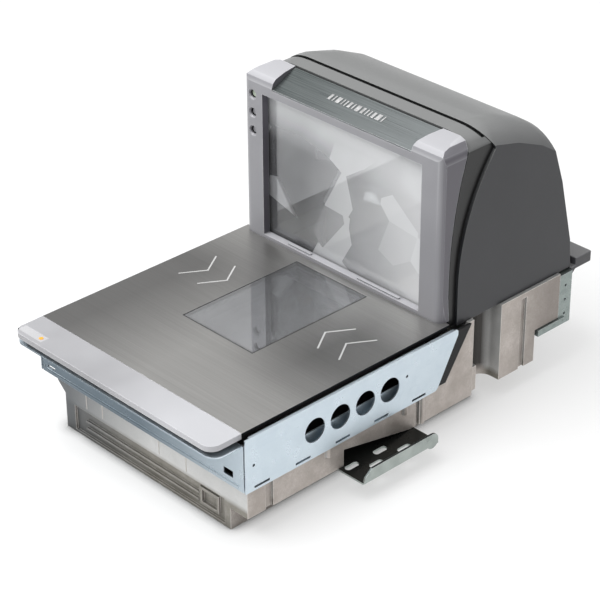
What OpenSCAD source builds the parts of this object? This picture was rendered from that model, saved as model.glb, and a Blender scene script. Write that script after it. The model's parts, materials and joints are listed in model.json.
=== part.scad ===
// Bioptic in-counter scanner-scale: a base that hangs in a counter cut-out, a weighing platter with a
// window and a tower with a second window. +X is the operator's right, +Y runs from the operator's
// edge to the tower and +Z is up. The origin is the centre of the base casting's bottom plane.

/* [Overall] */
// Length from the front trim to the rear rail
overall_length = 508; // [504:1:512]
// Width over the two sheet-metal side panels
tray_width = 292; // [291:1:294]
// Depth of the base below the platter's top face
depth_below = 116; // [115:1:118]
// Height of the tower above the platter's top face
tower_height = 181; // [180:1:182]

/* [Platter] */
// Width of the weighing platter
platter_width = 279.4; // [276:0.2:280]
// Thickness of the brushed steel plate
plate_t = 2; // [1.5:0.5:2]
// Length of the moulded front trim
trim_length = 36; // [30:1:40]
// Height of the moulded front trim
trim_height = 6; // [5:0.5:6]
// Width of the horizontal window
window_w = 96; // [80:1:98]
// Length of the horizontal window
window_l = 148; // [140:1:150]
// Width of a chevron stroke
chevron_stroke = 1.6; // [1:0.1:2]

/* [Tray sheet metal] */
// Thickness of the zinc-plated sheet
sheet_t = 1.5; // [1.2:0.1:1.6]
// Radius of the round ports in each side panel
port_r = 12.4; // [10:0.1:13]
// Distance between neighbouring ports
port_pitch = 32; // [30:1:34]
// Number of ports in each side panel
port_count = 4; // [1:1:4]

/* [Base casting] */
// Width over the casting's outer walls
casting_width = 282; // [280:1:283]
// Width of the lower box that reaches the bottom plane
lower_box_width = 236; // [232:1:236]
// Wall thickness of the casting
casting_t = 4; // [3.5:0.5:4]

/* [Tower] */
// Width of the light bezel
bezel_width = 267; // [265:1:268]
// Width of the vertical window's opening
opening_w = 214; // [206:1:214]
// Height of the vertical window's opening
opening_h = 154; // [148:1:154]
// Width of the dark bonnet
bonnet_width = 275; // [274:1:276]
// Wall thickness of the mouldings
wall_t = 3; // [2.5:0.5:3]

/* [Side brackets] */
// Distance between the two slots of one row
slot_pitch = 37; // [36:1:40]
// Length of a slot over its round ends
slot_length = 16; // [14:1:18]
// Width of a slot
slot_width = 6.5; // [5:0.5:7]

/* [Buttons] */
// Radius of a button's stem
button_r = 3.7; // [3:0.1:3.7]
// Distance between neighbouring buttons
button_pitch = 19.5; // [18:0.5:20]

/* [Facet wheel] */
// Width of the four-sided mirror wheel across its flats
wheel_w = 36; // [30:1:38]
// Height of the mirror wheel
wheel_h = 20; // [16:1:22]
// Radius of the motor shaft
shaft_r = 2; // [1.5:0.1:2.5]
// Radial clearance of the shaft in its sleeve
shaft_play = 0.04; // [0.02:0.01:0.08]

/* [Hidden] */
$fn = 48;

cut = 1;                                  // how far a cutting tool runs past a face
front_y = -overall_length / 2;
rear_y = overall_length / 2;
top_z = depth_below;
plate_half = platter_width / 2;
plate_front = front_y + trim_length;
bezel_y = front_y + 291.5;                // front plane of the tower
plate_back = bezel_y + 8.5;
plate_z = top_z - plate_t;
frame_z = top_z - 8;                      // underside of the platter frame

window_y = -47;                           // centre of the horizontal window
window_x0 = window_w / 2;
window_y0 = window_y - window_l / 2;
window_y1 = window_y + window_l / 2;
seal_w = 1;

tray_x = tray_width / 2;
tray_in = tray_x - sheet_t;
tray_front = front_y + 34.4;
tray_bottom = 55;
tray_top = top_z - 4.5;
lip_z = top_z - 12;

cast_x = casting_width / 2;
cast_in = cast_x - casting_t;
box_x = lower_box_width / 2;
box_in = box_x - casting_t;
cast_front = front_y + 40;
box_back = 105;                           // rear end of the lower box
pod_z = 23;                               // underside of the casting outside the lower box
left_pod_front = -185;
web_y = 80;                               // rear edge of the side webs
block_y = 119;                            // front face of the rear blocks
step_y = 171;                             // where the underside steps up
cast_back = 206;
step_z = 58;
rim_z = 108;                              // top face of the casting under the tower
bay_front = -94;                          // tool bay above each bracket
bay_back = -6;

deck_z = 86;                              // top of the optics shroud
shroud_t = 2.5;
shroud_x = 112;
shroud_front = -130;
shroud_back = 62;
glass_t = 3;

cell_y = -170;                            // load cell
cell_x = 66;
cell_z = 40;
cell_h = 22;
cell_w = 24;
support_z = 92;
support_t = 6;
pad_h = frame_z - support_z - support_t;

motor_y = 65;
board_t = 1.6;
stator_r = 15;
bell_r = 18;
bell_z = 31;
wheel_z = 34;

lean_y = bezel_y + 12.5;                  // seam between bezel and bonnet: upright, then an arc
lean_z = 160;
lean_r = 390;
ridge_y = 59;                             // crease behind the front band
insert_slope = 17.5;
bezel_x = bezel_width / 2;
opening_x = opening_w / 2;
sill_h = 4.5;
opening_z0 = top_z + sill_h;
opening_z1 = opening_z0 + opening_h;
crown_z = top_z + tower_height;
bezel_top = crown_z - 1;
reveal_back = bezel_y + 8;
glass_y = bezel_y + 9.5;
gasket_t = 5;
clear_x = opening_w / 2 - 1;               // half width of the clear view behind the window
tower_y = glass_y + glass_t + gasket_t;   // front face of the tower frame
bonnet_x = bonnet_width / 2;
bonnet_back = 230;
button_x = -121;
button_z = 231;
button_face = bezel_y + wall_t + 0.8;

bracket_y0 = -101;
bracket_y1 = -1;
bracket_x1 = 173;
bracket_t = 2;
bracket_z = pod_z - bracket_t;
slot_rows = [146, 159];
slot_y = [-70, -51];                      // centre of each row's pair of slots
screw_x = 130;
screw_y = [-86, -16];

zinc = [0.76, 0.82, 0.88];
cast = [0.62, 0.58, 0.54];
black = [0.12, 0.12, 0.13];
steel = [0.68, 0.68, 0.68];
silver = [0.78, 0.78, 0.80];
pale_grey = [0.62, 0.63, 0.64];
charcoal = [0.30, 0.30, 0.32];
glass = [0.55, 0.65, 0.65, 0.4];
mirror_blue = [0.80, 0.86, 0.90];
board = [0.10, 0.35, 0.20];

// A box given by its low and high limit along each axis
module span(x, y, z) {
    translate([x[0], y[0], z[0]]) cube([x[1] - x[0], y[1] - y[0], z[1] - z[0]]);
}

// A flat outline drawn in Y and Z, swept along X
module along_x(x0, x1) {
    translate([x0, 0, 0]) rotate([90, 0, 90]) linear_extrude(x1 - x0) children();
}

// A flat outline drawn in X and Z, swept along Y
module along_y(y0, y1) {
    translate([0, y1, 0]) rotate([90, 0, 0]) linear_extrude(y1 - y0) children();
}

module rod_x(x0, x1, y, z, r) {
    translate([x0, y, z]) rotate([0, 90, 0]) cylinder(h = x1 - x0, r = r);
}

module rod_y(y0, y1, x, z, r) {
    translate([x, y0, z]) rotate([-90, 0, 0]) cylinder(h = y1 - y0, r = r);
}

module rod_z(z0, z1, x, y, r) {
    translate([x, y, z0]) cylinder(h = z1 - z0, r = r);
}

module both_sides() {
    children();
    mirror([1, 0, 0]) children();
}

// A slot with round ends along Y, centred on x and y
module slot_y_cut(x, y, z0, z1, length, width) {
    run = length - width;
    span([x - width / 2, x + width / 2], [y - run / 2, y + run / 2], [z0, z1]);
    for (end = [-1, 1]) rod_z(z0, z1, x, y + end * run / 2, width / 2);
}

// Y of the seam between bezel and bonnet at height z
function seam_y(z) = z < lean_z ? lean_y : lean_y + lean_r - sqrt(lean_r * lean_r - pow(z - lean_z, 2));

// ---------------------------------------------------------------- base casting

// Side wall seen from the side, with the tool bay, the slanted web and the raised rear
function pod_outline(start) = [
    [start, pod_z], [bay_front, pod_z], [bay_front, pod_z + 18], [bay_back, pod_z], [web_y, pod_z],
    [web_y, rim_z], [web_y - 7, rim_z], [38, tray_bottom], [start, tray_bottom]
];

function pod_inside(start) = [
    [start + casting_t, pod_z + casting_t], [bay_front - casting_t, pod_z + casting_t],
    [bay_front - casting_t, pod_z + 23], [bay_back - 10, pod_z + casting_t],
    [web_y - casting_t, pod_z + casting_t], [web_y - casting_t, rim_z + cut],
    [start + casting_t, rim_z + cut]
];

module side_pod(start) {
    difference() {
        along_x(box_in, cast_x) polygon(pod_outline(start));
        along_x(box_in - cut, cast_in) polygon(pod_inside(start));
    }
    bay_wall = [[bay_front - casting_t, 0], [bay_front - casting_t, pod_z + 23],
                [bay_back - 10, pod_z + casting_t], [web_y, pod_z + casting_t], [web_y, 0]];
    along_x(box_in, box_x) polygon(bay_wall);
}

module lower_box() {
    difference() {
        span([-box_x, box_x], [cast_front, box_back], [0, pod_z + casting_t]);
        span([-box_in, box_in], [cast_front + 5, box_back - casting_t], [casting_t, pod_z + 5]);
    }
}

// Front wall: wide along the top, stepping in to the lower box
module casting_front() {
    outline = [[-box_x, 0], [box_x, 0], [box_x, pod_z + 1], [cast_x, pod_z + 1], [cast_x, tray_bottom],
               [-129, tray_bottom], [-129, 48], [-box_x, 38]];
    along_y(cast_front, cast_front + 5) polygon(outline);
}

// The front wall's lower field, its ribs, a pocket and shallow vertical seams
module front_recess() {
    rib_h = 2;
    field_d = 2.5;
    difference() {
        span([-104, 110], [cast_front - cut, cast_front + field_d], [3, 30]);
        for (z = [10, 18]) span([-88, 74], [cast_front, cast_front + field_d + 1], [z, z + rib_h]);
        span([76, 102], [cast_front, cast_front + field_d + 1], [8, 27]);
    }
    span([79, 99], [cast_front - cut, cast_front + 3.5], [11, 24]);
    for (x = [-86, -62, 20, 58]) span([x, x + 1.2], [cast_front - cut, cast_front + 0.8], [34, tray_bottom]);
}

// Plan of the rear casting, drawn inwards by an inset
module rear_plan(inset, start) {
    difference() {
        translate([inset - cast_x, start]) square([casting_width - 2 * inset, cast_back - inset - start]);
        both_sides() {
            translate([box_x - inset, web_y - inset])
                square([cast_x - box_x + inset + cut, block_y - web_y + 2 * inset]);
        }
    }
}

module rear_casting() {
    bend_r = 12;
    difference() {
        union() {
            translate([0, 0, pod_z]) linear_extrude(rim_z - pod_z) rear_plan(0, web_y - 8);
            both_sides() translate([box_x, block_y - bend_r, pod_z]) difference() {
                cube([bend_r, bend_r, rim_z - pod_z]);
                translate([bend_r, 0, -cut]) cylinder(h = rim_z, r = bend_r);
            }
        }
        difference() {
            translate([0, 0, pod_z + casting_t]) linear_extrude(rim_z) rear_plan(casting_t, web_y - 9);
            span([-cast_x, cast_x], [step_y - casting_t, cast_back], [0, step_z + casting_t]);
            difference() {
                span([-cast_x, cast_x], [web_y, cast_back], [rim_z - casting_t, rim_z + cut]);
                translate([0, 0, pod_z]) linear_extrude(rim_z) rear_plan(12, web_y - 9);
            }
        }
        span([-cast_x - cut, cast_x + cut], [step_y, cast_back + cut], [0, step_z]);
        span([-box_in, box_in], [web_y - 9, box_back - casting_t], [0, pod_z + 5]);
        both_sides() span([cast_x - 2.5, cast_x + cut], [148, 156], [0, rim_z - 6]);
        span([-60, 60], [cast_back - casting_t - cut, cast_back + cut], [step_z + 12, rim_z - 10]);
    }
}

module base_casting() {
    color(cast) difference() {
        union() {
            difference() {
                union() {
                    lower_box();
                    side_pod(cast_front);
                    mirror([1, 0, 0]) side_pod(left_pod_front);
                    rear_casting();
                    casting_front();
                }
                span([-box_in, box_in], [cast_front + 5, box_back - casting_t], [casting_t, pod_z + 6]);
            }
            span([40, cell_x], [cell_y - cell_w / 2, cell_y + cell_w / 2], [casting_t - 0.5, cell_z]);
        }
        both_sides() span([cast_x - 2.5, cast_x + cut], [-192, -183], [0, tray_bottom + cut]);
        both_sides() span([cast_x - 2.5, cast_x + cut], [1.6, 6], [0, tray_bottom + cut]);
        front_recess();
    }
    color(cast) both_sides() {
        for (y = [-115, -14]) rod_z(44, tray_bottom, cast_x, y, 3.4);
        rod_z(pod_z, tray_bottom, cast_x - 1, 10, 3);
        span([box_x - 4, 131], [86, 89], [44, 106]);
        span([box_x - 4, cast_x - 5], [web_y - casting_t, 91], [pod_z, 50]);
    }
}

// ---------------------------------------------------------------- sheet-metal tray

module front_panel() {
    lip_r = 12;
    lip_front = front_y + 2;
    wall_back = tray_front + sheet_t;
    wall_x = tray_in - 1.5;
    color(zinc) {
        difference() {
            span([-wall_x, wall_x], [tray_front, wall_back], [tray_bottom, lip_z]);
            span([116.5, 129], [tray_front - cut, wall_back + cut], [64.5, 71.5]);
            span([-136, -124], [tray_front - cut, wall_back + cut], [62, 64.5]);
            rod_y(tray_front - cut, wall_back + cut, -140, 60.5, 1.2);
        }
        span([-128, cast_in], [wall_back, cast_front + 5], [tray_bottom, tray_bottom + sheet_t]);
        rod_x(-136, 136, tray_front + 0.6, 59, 1.6);
        translate([0, 0, lip_z - sheet_t]) linear_extrude(sheet_t) union() {
            translate([-cast_x, lip_front + lip_r]) square([casting_width, wall_back - lip_front - lip_r]);
            translate([-cast_x + lip_r, lip_front]) square([casting_width - 2 * lip_r, lip_r]);
            for (side = [-1, 1]) translate([side * (cast_x - lip_r), lip_front + lip_r]) circle(lip_r);
        }
    }
}

module side_panel() {
    outline = [[tray_front, tray_bottom], [23, tray_bottom], [26, tray_bottom + 3], [52, 105],
               [52, tray_top - 2], [50, tray_top], [tray_front, tray_top]];
    slot_half = 9.2;
    color(zinc) {
        difference() {
            along_x(tray_in, tray_x) polygon(outline);
            for (i = [0:port_count - 1])
                rod_x(tray_in - cut, tray_x + cut, -135.6 + i * port_pitch, 84.2, port_r);
            for (i = [0:4])
                span([tray_in - cut, tray_x + cut], [-200.4 + 50 * i - slot_half, -200.4 + 50 * i + slot_half],
                     [tray_bottom + 2.4, tray_bottom + 4.8]);
            for (p = [[-210, 82], [-17, 89]]) rod_x(tray_in - cut, tray_x + cut, p[0], p[1], 1.5);
        }
        span([cast_in, tray_in], [cast_front + 6, 8], [tray_bottom, tray_bottom + sheet_t]);
        span([cast_in, cast_in + sheet_t], [cast_front + 6, 8], [tray_bottom + sheet_t, 78]);
        span([tray_in - 2, tray_in], [tray_front + 6, 48], [tray_top - sheet_t, tray_top]);
    }
}

module side_panel_right() {
    side_panel();
}

module side_panel_left() {
    mirror([1, 0, 0]) side_panel();
}

// Black seal strips along the platter's sides and in the gap behind each side panel's slanted edge
module edge_seals() {
    gap = [[20, tray_bottom + 2], [46, rim_z], [web_y - 7.2, rim_z], [38.6, tray_bottom + 2]];
    color(black) both_sides() {
        span([cast_x + 0.2, tray_in], [tray_front + 4, 44], [98, 108]);
        along_x(cast_x + 0.2, cast_x + 3) polygon(gap);
    }
}

module lip_gasket() {
    color(black) span([-126, 126], [front_y + 6, tray_front - 3], [lip_z, lip_z + 3]);
}

// ---------------------------------------------------------------- side brackets

module bracket() {
    lip_h = 13;
    bead_r = 1.6;
    lip_x = bracket_x1 - bracket_t;
    translate([0, 0, bracket_z]) color([0.22, 0.24, 0.23]) {
        difference() {
            span([box_x, bracket_x1], [bracket_y0, bracket_y1], [0, bracket_t]);
            for (row = [0, 1], end = [-1, 1])
                slot_y_cut(slot_rows[row], slot_y[row] + end * slot_pitch / 2, -cut, bracket_t + cut,
                           slot_length, slot_width);
            for (y = screw_y) rod_z(-cut, bracket_t + cut, screw_x, y, 2);
        }
        along_x(lip_x, bracket_x1) union() {
            polygon([[bracket_y0 + 1, 0], [bracket_y0 + 3, 6], [bracket_y0 + 12, lip_h],
                     [bracket_y1 - 8, lip_h], [bracket_y1 - 8, 0]]);
            translate([bracket_y1 - 8, lip_h - 8]) circle(8);
        }
        rod_y(bracket_y0 + 13, bracket_y1 - 8, lip_x + 0.4, lip_h - bead_r, bead_r);
    }
}

module bracket_right() {
    bracket();
}

module bracket_left() {
    mirror([1, 0, 0]) bracket();
}

module bracket_screws() {
    color(steel) both_sides() for (y = screw_y) {
        rod_z(bracket_z - 2.2, bracket_z, screw_x, y, 3.8);
        rod_z(bracket_z, pod_z, screw_x, y, 2);
    }
}

// ---------------------------------------------------------------- rear panel, rail and jacks

jack_x = [-48, -24, 0, 24, 48];
jack_w = 14;
jack_h = 12;
jack_z = 78;
panel_back = 224;

module rear_panel() {
    flange = 18;
    color(zinc) difference() {
        union() {
            span([-cast_x, cast_x], [panel_back - sheet_t, panel_back], [50, rim_z - 4]);
            both_sides() span([cast_x - sheet_t, cast_x], [cast_back, panel_back], [48, rim_z - 4]);
            span([-cast_x, cast_x], [cast_back, panel_back], [rim_z - 4, rim_z - 2.5]);
            both_sides() span([cast_x - 20, cast_x + 2], [cast_back - 32, panel_back - 10],
                              [step_z - 8, step_z - 6.5]);
            both_sides() span([cast_x, cast_x + 2], [cast_back - 32, panel_back - 10],
                              [step_z - 6.5, step_z - 1]);
        }
        for (x = jack_x)
            span([x - jack_w / 2, x + jack_w / 2], [panel_back - sheet_t - cut, panel_back + cut],
                 [jack_z, jack_z + jack_h]);
        both_sides() for (z = [60, 76, 92])
            rod_x(cast_x - sheet_t - cut, cast_x + cut, cast_back + 9, z, 1.5);
    }
}

module rear_rail() {
    color(charcoal) along_x(-plate_half, plate_half) polygon([
        [panel_back, 98], [bonnet_back + 0.5, lip_z], [rear_y, lip_z], [rear_y, top_z],
        [bonnet_back + 0.5, top_z], [bonnet_back + 0.5, rim_z - 0.5], [panel_back, rim_z - 0.5]
    ]);
}

module rail_screws() {
    color(steel) for (x = [-100, -40, 40, 100]) rod_z(top_z, top_z + 1.2, x, rear_y - 12, 3.5);
}

module interface_jacks() {
    depth = 14;
    color(black) for (x = jack_x) difference() {
        span([x - jack_w / 2 + 0.2, x + jack_w / 2 - 0.2], [panel_back - depth, panel_back + 1],
             [jack_z + 0.2, jack_z + jack_h - 0.2]);
        span([x - jack_w / 2 + 1.5, x + jack_w / 2 - 1.5], [panel_back - depth + 2, panel_back + 2],
             [jack_z + 1.5, jack_z + jack_h - 1.5]);
    }
}

// ---------------------------------------------------------------- optics in the base

module optics_shroud() {
    color(black) difference() {
        span([-shroud_x, shroud_x], [shroud_front, shroud_back], [casting_t, deck_z]);
        span([-shroud_x + shroud_t, shroud_x - shroud_t], [shroud_front + shroud_t, shroud_back + cut],
             [casting_t - cut, deck_z - shroud_t]);
        span([-window_x0 - 2, window_x0 + 2], [window_y0 - 3, window_y1 + 3],
             [deck_z - shroud_t - cut, deck_z + cut]);
    }
}

module inner_window_seal() {
    color(black) difference() {
        span([-window_x0 - 8, window_x0 + 8], [window_y0 - 8, window_y1 + 8], [deck_z, deck_z + 1]);
        span([-window_x0 - 2, window_x0 + 2], [window_y0 - 3, window_y1 + 3], [deck_z - cut, deck_z + 2]);
    }
}

module inner_window() {
    color(glass) span([-window_x0 - 7, window_x0 + 7], [window_y0 - 7, window_y1 + 7],
                      [deck_z + 1, deck_z + 1 + glass_t]);
}

// Mirror plates of the lower cluster: place, tilt about X, Y and Z, width and height
lower_plates = [
    [[0, -100, 44], [-48, 0, 0], 84, 44],
    [[-76, -60, 46], [-55, 0, -62], 52, 42],
    [[76, -60, 46], [-55, 0, 62], 52, 42],
    [[-78, 10, 46], [-58, 0, -108], 46, 40],
    [[78, 10, 46], [-58, 0, 108], 46, 40]
];

module mirror_plate(p, w, h, z0, z1) {
    translate(p[0]) rotate([0, 0, p[1][2]]) rotate([p[1][0], 0, 0])
        translate([-w / 2, z0, -h / 2]) cube([w, z1 - z0, h]);
}

module lower_mirrors() {
    color(mirror_blue) for (p = lower_plates) mirror_plate(p, p[2], p[3], 0, 2);
}

module lower_mirror_frame() {
    color(charcoal) difference() {
        for (p = lower_plates) {
            mirror_plate(p, p[2] + 4, p[3] + 4, -3, 0);
            translate([p[0][0], p[0][1], casting_t]) rotate([0, 0, p[1][2]])
                translate([-5, -16, 0]) cube([10, 8, p[0][2] - 12]);
        }
        for (p = lower_plates) mirror_plate(p, p[2] + 10, p[3] + 30, 0, 40);
    }
}

module motor_board() {
    color(board) span([-34, 34], [motor_y - 30, motor_y + 30], [casting_t, casting_t + board_t]);
}

module bearing_sleeve() {
    base_z = casting_t + board_t;
    color([0.72, 0.58, 0.28]) difference() {
        union() {
            rod_z(base_z, base_z + 3, 0, motor_y, 11);
            rod_z(base_z, bell_z - 1, 0, motor_y, 6);
        }
        rod_z(base_z - cut, bell_z, 0, motor_y, shaft_r + shaft_play);
    }
}

module motor_stator() {
    color([0.70, 0.42, 0.24]) difference() {
        rod_z(12, 28, 0, motor_y, stator_r);
        rod_z(11, 29, 0, motor_y, 6);
        for (a = [0:60:300]) translate([0, motor_y, 11]) rotate([0, 0, a]) translate([8, -1.5, 0])
            cube([stator_r, 3, 20]);
    }
}

module motor_rotor() {
    color(steel) difference() {
        union() {
            rod_z(bell_z, wheel_z, 0, motor_y, bell_r);
            rod_z(14, bell_z, 0, motor_y, bell_r);
            rod_z(8, wheel_z + wheel_h + 3, 0, motor_y, shaft_r);
        }
        difference() {
            rod_z(13, bell_z, 0, motor_y, bell_r - 1.8);
            rod_z(13, bell_z + cut, 0, motor_y, shaft_r);
        }
    }
}

// Four mirror facets, each leaning a little more than the last so that their scan lines fan out
module facet_wheel() {
    color(mirror_blue) difference() {
        rod_z(wheel_z, wheel_z + wheel_h, 0, motor_y, wheel_w * 0.66);
        for (i = [0:3]) translate([0, motor_y, wheel_z]) rotate([0, 0, 90 * i]) translate([wheel_w / 2, 0, 0])
            rotate([0, 1.5 * i, 0]) translate([0, -wheel_w, -4]) cube([wheel_w, 2 * wheel_w, wheel_h + 8]);
        rod_z(wheel_z - cut, wheel_z + wheel_h + cut, 0, motor_y, shaft_r);
    }
}

optic_z = wheel_z + wheel_h / 2;

module laser_mount() {
    color(charcoal) difference() {
        span([-104, -80], [motor_y - 12, motor_y + 12], [casting_t, optic_z + 10]);
        rod_x(-105, -79, motor_y, optic_z, 7);
    }
}

module laser_module() {
    color([0.72, 0.58, 0.28]) {
        rod_x(-106, -74, motor_y, optic_z, 7);
        rod_x(-74, -70, motor_y, optic_z, 5);
    }
}

module lens_holder() {
    color(charcoal) difference() {
        span([52, 62], [motor_y - 23, motor_y + 23], [casting_t, optic_z + 23]);
        rod_x(51, 63, motor_y, optic_z, 18);
    }
}

module collector_lens() {
    ball_r = 60;
    color(glass) intersection() {
        rod_x(50, 64, motor_y, optic_z, 18);
        translate([57 + ball_r - 5, motor_y, optic_z]) sphere(ball_r);
    }
}

module detector_board() {
    color(board) span([96, 96 + board_t], [motor_y - 22, motor_y + 22], [casting_t, optic_z + 20]);
    color(black) span([92, 96], [motor_y - 4, motor_y + 4], [optic_z - 4, optic_z + 4]);
}

module main_board() {
    z = step_z + casting_t + 4;
    color(board) span([-120, 120], [175, 196], [z, z + board_t]);
    color(black) for (x = [-90, -30, 50]) span([x, x + 26], [178, 193], [z + board_t, z + 6]);
    color(steel) for (x = [-112, 112]) rod_z(step_z + casting_t, z, x, 185, 3);
}

// ---------------------------------------------------------------- scale

module load_cell() {
    bore_r = 7;
    bore_x = 12;
    mid_z = cell_z + cell_h / 2;
    color(silver) along_y(cell_y - cell_w / 2, cell_y + cell_w / 2) difference() {
        translate([-cell_x, cell_z]) square([2 * cell_x, cell_h]);
        for (side = [-1, 1]) translate([side * bore_x, mid_z]) circle(bore_r);
        translate([-bore_x, mid_z - 2]) square([2 * bore_x, 4]);
    }
}

module load_cell_bolts() {
    color(steel) for (y = [-6, 6]) {
        rod_z(cell_z + cell_h, cell_z + cell_h + 4, 53, cell_y + y, 4);
        rod_z(support_z + support_t, support_z + support_t + 4, -53, cell_y + y, 4);
    }
}

module platter_support() {
    edge_x = 136;
    color(cast) difference() {
        union() {
            span([-edge_x, edge_x], [cast_front - 2, 42], [support_z, support_z + support_t]);
            span([-cell_x, -40], [cell_y - cell_w / 2, cell_y + cell_w / 2], [cell_z + cell_h, support_z]);
        }
        span([-116, 116], [window_y0 - 14, 26], [support_z - cut, support_z + support_t + cut]);
        span([-28, 116], [-200, -150], [support_z - cut, support_z + support_t + cut]);
        span([-116, -76], [-200, -150], [support_z - cut, support_z + support_t + cut]);
    }
}

module support_pads() {
    color(black) for (x = [-128, 128], y = [-208, 34])
        rod_z(support_z + support_t, frame_z, x, y, 6);
}

// ---------------------------------------------------------------- tower

module tower_frame() {
    rib_t = 2;
    side = [[tower_y, rim_z + rib_t], [tower_y, 264], [104, 264], [160, 244], [184, 222], [202, rim_z + rib_t]];
    color(black) {
        difference() {
            span([-128, 128], [tower_y, tower_y + wall_t], [rim_z + rib_t, 279]);
            span([-clear_x, clear_x], [tower_y - cut, tower_y + wall_t + cut],
                 [opening_z0 + 2, opening_z1 - 2]);
        }
        both_sides() along_x(126, 128) polygon(side);
        difference() {
            span([-133, 133], [web_y + 5, cast_back - 3], [rim_z, rim_z + rib_t]);
            span([-100, 100], [web_y + 4, 176], [rim_z - cut, rim_z + rib_t + cut]);
        }
        difference() {
            span([-128, 128], [tower_y, web_y + 5], [rim_z, rim_z + rib_t]);
            span([-100, 100], [tower_y + wall_t, web_y + 6], [rim_z - cut, rim_z + rib_t + cut]);
        }
    }
}

module tower_screws() {
    color(steel) both_sides() for (y = [130, 190]) rod_z(rim_z + 2, rim_z + 4.5, 131, y, 2.5);
}

module window_gasket() {
    color(black) difference() {
        span([-opening_x - 2, opening_x + 2], [glass_y + glass_t, tower_y], [opening_z0 - 4, opening_z1 + 2]);
        span([-clear_x, clear_x], [glass_y, tower_y + cut], [opening_z0 + 2, opening_z1 - 2]);
    }
}

module vertical_window() {
    color(glass) span([-opening_x - 2, opening_x + 2], [glass_y, glass_y + glass_t],
                      [opening_z0 - 4, opening_z1 + 2]);
}

upper_plates = [
    [[0, 150, 232], [22, 0, 0], 96, 52],
    [[-78, 128, 214], [12, 0, 34], 64, 74],
    [[78, 128, 214], [12, 0, -34], 64, 74],
    [[-44, 168, 158], [-14, 0, 12], 72, 60],
    [[44, 168, 158], [-14, 0, -12], 72, 60]
];

module upper_mirrors() {
    color(mirror_blue) for (p = upper_plates) mirror_plate(p, p[2], p[3], -2, 0);
}

module upper_mirror_frame() {
    color(pale_grey) difference() {
        union() {
            for (p = upper_plates) mirror_plate(p, p[2] + 4, p[3] + 4, 0, 3);
            both_sides() span([20, 28], [178, 186], [rim_z + 2, 222]);
            span([-126, 126], [180, 186], [rim_z + 2, rim_z + 12]);
        }
        for (p = upper_plates) mirror_plate(p, p[2] + 20, p[3] + 20, -40, 0);
    }
}

module speaker() {
    color(black) difference() {
        rod_x(108, 126, 92, 150, 22);
        rod_x(107, 112, 92, 150, 18);
    }
}

module button_housing() {
    front = button_face + 3;
    color(charcoal) difference() {
        span([button_x - 8, button_x + 9.5], [front, tower_y], [button_z - 8, button_z + 2 * button_pitch + 8]);
        span([button_x - 6, button_x + 7.5], [front + 1.5, tower_y + cut],
             [button_z - 6, button_z + 2 * button_pitch + 6]);
        for (i = [0:2]) rod_y(front - cut, front + 3, button_x, button_z + i * button_pitch, button_r + 0.05);
    }
}

module button_board() {
    color(board) span([button_x - 5.5, button_x + 7], [tower_y - board_t, tower_y],
                      [button_z - 5.5, button_z + 2 * button_pitch + 5.5]);
    color(black) for (i = [0, 1])
        span([button_x - 3, button_x + 3], [tower_y - board_t - 0.7, tower_y - board_t],
             [button_z + i * button_pitch - 3, button_z + i * button_pitch + 3]);
}

module indicator_lens() {
    z = button_z + 2 * button_pitch;
    color([0.85, 0.90, 0.80]) rod_y(button_face, tower_y - board_t, button_x, z, button_r);
}

module button(z) {
    flange = button_face + 4.9;
    color(silver) {
        rod_y(button_face, flange + 1, button_x, z, button_r);
        rod_y(flange, flange + 1, button_x, z, button_r + 1.3);
    }
}

module volume_button() {
    button(button_z + button_pitch);
}

module zero_button() {
    button(button_z);
}

// The bonnet's top and back as a chain of flat faces. Each runs out into round shoulders that stop at a
// crease with the upright side: y and z of a point on the face, lean, shoulder width, shoulder drop
bonnet_faces = [
    [100, crown_z, 0, 36, 14.4], [110.6, crown_z + 0.9, -14.3, 38, 17], [143.5, crown_z - 7.7, -22.7, 38, 17],
    [179.5, crown_z - 24.1, -32.6, 36, 16], [207.8, 211.3, -70.6, 28, 4], [225.4, 141, -76, 28, 4],
    [228.2, 111.3, -84.7, 28, 4]
];

// Cross-section of one face: flat top, shoulder arcs in short flats and upright sides
function face_outline(half, top, w, d) = let (r = (w * w + d * d) / (2 * d), sweep = asin(w / r)) concat(
    [[-half, -400], [half, -400]],
    [for (i = [6:-1:0]) let (a = sweep * i / 6) [half - w + r * sin(a), top - r + r * cos(a)]],
    [for (i = [0:6]) let (a = sweep * i / 6) [-half + w - r * sin(a), top - r + r * cos(a)]]
);

module bonnet_face(f, inset) {
    reach = 400;
    translate([0, f[0], f[1]]) rotate([f[2], 0, 0]) along_y(-reach, reach)
        polygon(face_outline(bonnet_x - inset, -inset, f[3], f[4]));
}

module bonnet_form(inset) {
    intersection() {
        bonnet_face(bonnet_faces[0], inset);
        bonnet_face(bonnet_faces[1], inset);
        bonnet_face(bonnet_faces[2], inset);
        bonnet_face(bonnet_faces[3], inset);
        bonnet_face(bonnet_faces[4], inset);
        bonnet_face(bonnet_faces[5], inset);
        bonnet_face(bonnet_faces[6], inset);
    }
}

// Everything behind a curve: upright at the bottom, then bent back along an arc, then straight to y_top
module behind(y, z, r, floor_z, arc_top, y_top) {
    half = bonnet_x + cut;
    top = 304;
    steps = 14;
    arc = [for (i = [0:steps]) let (h = (arc_top - z) * i / steps) [y + r - sqrt(r * r - h * h), z + h]];
    along_x(-half, half) polygon(concat([[240, floor_z], [y, floor_z]], arc, [[y_top, top], [240, top]]));
}

module behind_seam(gap) {
    behind(lean_y + gap, lean_z, lean_r, rim_z, 300, lean_y + gap + 27.5);
}

// The ridge where the front band meets the cover runs further back than the seam
module behind_ridge(gap) {
    behind(ridge_y + gap, 150, 207, rim_z - cut, 279, ridge_y + gap + 34.5);
}

// The side walls are thicker along the seam
module edge_lip() {
    lip_x = 130.5;
    span([lip_x, bonnet_x], [40, 83], [rim_z - cut, 200]);
    span([lip_x, bonnet_x], [40, 108], [200, crown_z + 1]);
}

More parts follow.
